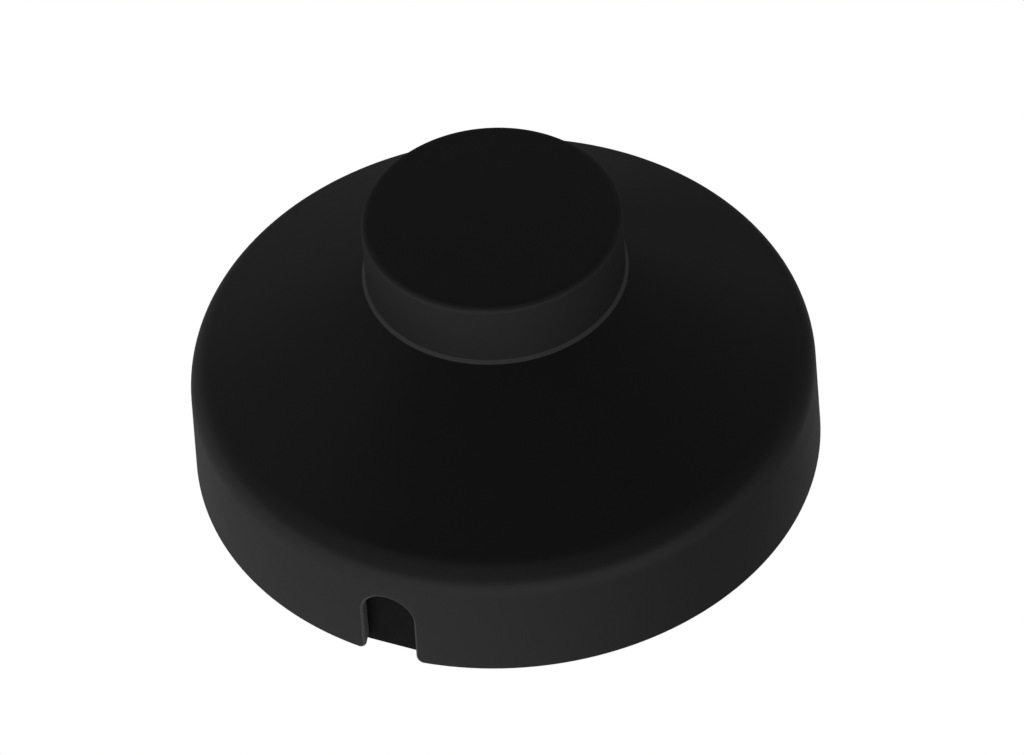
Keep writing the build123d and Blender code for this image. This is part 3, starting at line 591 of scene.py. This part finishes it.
def painted_highlight_plastic(name, colour, rough, sheen):
    """Plastic in one paler colour all over, which is a painted highlight, with a soft sheen."""
    shader = Shader(name, IOR=1.5, Roughness=rough, Sheen_Weight=sheen, Sheen_Roughness=0.3)
    # Painted highlight: the pale base colour stands in for the light that the edges catch.
    shader.surface.inputs["Base Color"].default_value = (*colour, 1)
    shader.use("Normal", shader.bump(shader.noise(0.3, 2.0), 0.002))
    return shader.material


def metal(name, colour, tarnish, rough, brush):
    """Plated or plain metal with drawn lines and a little tarnish."""
    shader = Shader(name, Metallic=1.0)
    patches = shader.noise(3.0, 4.0)
    shader.use("Base Color", shader.blend(shader.between(patches, 0, 1, 0.4, 0.75), colour, tarnish))
    lines = shader.noise(0.25, 2.0, brush)
    shader.use("Roughness", shader.between(lines, rough[0], rough[1]))
    shader.use("Normal", shader.bump(lines, 0.004))
    return shader.material


def rubber(name, colour):
    """Matt rubber with dust on it."""
    shader = Shader(name, IOR=1.5)
    dust = shader.noise(1.5, 5.0)
    dusty = tuple(c + 0.02 for c in colour)
    shader.use("Base Color", shader.blend(shader.between(dust, 0, 1, 0.45, 0.8), colour, dusty))
    shader.use("Roughness", shader.between(dust, 0.7, 0.9))
    shader.use("Normal", shader.bump(shader.noise(0.12, 2.0), 0.02))
    return shader.material


def make_materials():
    """Every material of the switch, by the name of its slot."""
    black = ((0.0043, 0.0043, 0.0044), (0.0047, 0.0047, 0.0048))
    # dull_black is a slightly darker copy of black: its darker colour is painted shade for the inner
    # mouldings that sit in shade. Its higher roughness and lower gloss are the finish.
    dull_black = ((0.0035, 0.0035, 0.0035), (0.0045, 0.0045, 0.0045))
    plastics = {
        "black_moulding": (*black, (0.28, 0.32), 0.16, 0.0015),
        "black_button": (*black, (0.48, 0.52), 0.14, 0.0015, 0.62),
        "dull_black_moulding": (*dull_black, (0.6, 0.7), 0.2, 0.006, 0.2),
        "pale_nylon": ((0.62, 0.60, 0.52), (0.70, 0.68, 0.60), (0.42, 0.55), 0.2, 0.006),
        "red_nylon": ((0.36, 0.03, 0.02), (0.44, 0.04, 0.03), (0.38, 0.5), 0.2, 0.006),
    }
    # Painted highlight: one paler grey for the walls and edges of the cord entries and for the lip round
    # the button. The sheen is the shader's own gloss.
    painted_highlights = {
        "pale_edge": ((0.09, 0.09, 0.09), 0.4, 0.3),
        "rubbed_lip": ((0.09, 0.09, 0.09), 0.35, 0.4),
    }
    metals = {
        "brass": ((0.78, 0.55, 0.24), (0.55, 0.36, 0.16), (0.22, 0.36), (1, 0.06, 1)),
        "silver_contact": ((0.9, 0.89, 0.86), (0.7, 0.67, 0.6), (0.15, 0.3), (1, 1, 1)),
        "spring_steel": ((0.5, 0.5, 0.52), (0.36, 0.35, 0.35), (0.25, 0.4), (1, 1, 0.1)),
        "zinc_plated_steel": ((0.62, 0.63, 0.66), (0.5, 0.5, 0.48), (0.28, 0.42), (1, 1, 1)),
    }
    rubbers = {"black_rubber": ((0.012, 0.012, 0.012),)}
    made = {}
    recipes = ((satin_plastic, plastics), (painted_highlight_plastic, painted_highlights), (metal, metals), (rubber, rubbers))
    for recipe, slots in recipes:
        for name, values in slots.items():
            made[name] = recipe(name, *values)
    return made


def paint_nodes():
    """Gives each carried-over CAD node its material."""
    for entry in frame["record"]["subparts"]:
        node = frame["nodes"][entry["node"]]
        node.data.materials.clear()
        node.data.materials.append(materials[entry["material_slot"]])


# ---- Studio -------------------------------------------------------------------
CAMERA_AZIMUTH = 24.65
CAMERA_ELEVATION = 45.79
CAMERA_ROLL = -4.28
CAMERA_DISTANCE = 0.7869
CAMERA_LENS = 276.6
CAMERA_SENSOR = 36
CAMERA_NEAREST = 0.01
CAMERA_FARTHEST = 50
AIM_SIDEWAYS = 0.000835
AIM_HEIGHT = 0.00915
FLOOR_SIZE = 8.0
# What the switch sees round it, as bands of elevation: the lowest elevation of the band, how
# softly it begins, its brightest side in degrees right of the camera, the radiance of that side
# and of the side opposite, and how fast it falls off between them. The floor is brightest some
# way in front of the switch.
SURROUNDINGS = (
    (-90, 1, -33, 0.46, 0.12, 1.9),
    (-33, 9, -15, 0.64, 0.06, 1.3),
    (0, 2, -33, 0.28, 0.13, 2.2),
    (47, 12, 0, 0.105, 0.09, 1.0),
)


def toward(azimuth, elevation):
    """Unit vector to a direction in degrees; azimuth 0 is -Y and 90 is +X."""
    a, e = math.radians(azimuth), math.radians(elevation)
    return Vector((math.sin(a) * math.cos(e), -math.cos(a) * math.cos(e), math.sin(e)))


def make_floor():
    """Pale floor that the camera sees, and that throws no light of its own onto the switch."""
    mesh_maker = bmesh.new()
    bmesh.ops.create_grid(mesh_maker, x_segments=1, y_segments=1, size=FLOOR_SIZE / 2)
    floor = rough_piece(mesh_maker, "studio_floor")
    shader = Shader("studio_floor", Roughness=1.0, Emission_Strength=1.0)
    shader.surface.inputs["Base Color"].default_value = (0, 0, 0, 1)
    shader.surface.inputs["Specular IOR Level"].default_value = 0.0
    shader.surface.inputs["Emission Color"].default_value = (1, 1, 1, 1)
    floor.data.materials.append(shader.material)
    floor.visible_diffuse = False
    floor.visible_glossy = False
    floor.visible_shadow = False


class Sky:
    """Node tree of a world, with short ways to add and wire its nodes."""

    def __init__(self, world):
        world.use_nodes = True
        self.tree = world.node_tree

    def wire(self, node, *values):
        """Wires or sets a node's inputs in order, and gives its first output."""
        for socket, value in zip(node.inputs, values):
            if isinstance(value, bpy.types.NodeSocket):
                self.tree.links.new(value, socket)
            else:
                socket.default_value = value
        return node.outputs[0]

    def calculate(self, operation, *values):
        made = self.tree.nodes.new("ShaderNodeMath")
        made.operation = operation
        return self.wire(made, *values)

    def calculate_vector(self, operation, *values):
        made = self.tree.nodes.new("ShaderNodeVectorMath")
        made.operation = operation
        self.wire(made, *values)
        return made.outputs["Value" if operation == "DOT_PRODUCT" else "Vector"]

    def spread(self, value, from_low, from_high, to_low, to_high, shape="LINEAR"):
        """Maps a value from one range onto another."""
        made = self.tree.nodes.new("ShaderNodeMapRange")
        made.interpolation_type = shape
        return self.wire(made, value, from_low, from_high, to_low, to_high)


def make_light():
    """World that lights the switch from its soft surroundings and shows the camera plain white."""
    world = bpy.data.worlds.new("studio")
    bpy.context.scene.world = world
    sky = Sky(world)
    looking = sky.tree.nodes.new("ShaderNodeTexCoord").outputs["Generated"]
    split = sky.tree.nodes.new("ShaderNodeSeparateXYZ")
    sky.wire(split, looking)
    elevation = sky.calculate("ARCSINE", split.outputs["Z"])
    level_part = sky.calculate_vector("MULTIPLY", looking, (1, 1, 0))
    sideways = sky.calculate_vector("NORMALIZE", level_part)
    total = None
    for lowest, softness, side, bright, dim, falloff in SURROUNDINGS:
        facing = sky.calculate_vector("DOT_PRODUCT", sideways, toward(CAMERA_AZIMUTH + side, 0))
        nearness = sky.calculate("POWER", sky.spread(facing, -1, 1, 0, 1), falloff)
        level = sky.spread(nearness, 0, 1, dim, bright)
        if total is None:
            total = level
            continue
        start, end = math.radians(lowest - softness), math.radians(lowest + softness)
        inside = sky.spread(elevation, start, end, 0, 1, "SMOOTHSTEP")
        total = sky.calculate("MULTIPLY_ADD", inside, sky.calculate("SUBTRACT", level, total), total)
    seen = sky.tree.nodes.new("ShaderNodeLightPath").outputs["Is Camera Ray"]
    background = sky.tree.nodes["Background"]
    background.inputs["Color"].default_value = (1, 1, 1, 1)
    sky.tree.links.new(sky.calculate("MAXIMUM", seen, total), background.inputs["Strength"])


def make_camera():
    """Camera at the photograph's angle, aimed a little beside the axis."""
    back = toward(CAMERA_AZIMUTH, CAMERA_ELEVATION)
    aim = toward(CAMERA_AZIMUTH + 90, 0) * AIM_SIDEWAYS + Vector((0, 0, AIM_HEIGHT))
    data = bpy.data.cameras.new("camera")
    data.lens = CAMERA_LENS
    data.sensor_width = CAMERA_SENSOR
    data.clip_start = CAMERA_NEAREST
    data.clip_end = CAMERA_FARTHEST
    camera = bpy.data.objects.new("camera", data)
    camera.location = aim + back * CAMERA_DISTANCE
    camera.rotation_mode = "QUATERNION"
    roll = Matrix.Rotation(math.radians(CAMERA_ROLL), 4, "Z")
    look = (-back).to_track_quat("-Z", "Y").to_matrix().to_4x4()
    camera.rotation_quaternion = (look @ roll).to_quaternion()
    bpy.context.scene.collection.objects.link(camera)
    bpy.context.scene.camera = camera


materials = make_materials()
paint_nodes()
make_cover()
make_button()
make_spring()
make_floor()
make_light()
make_camera()
bpy.context.scene.view_settings.view_transform = "Standard"
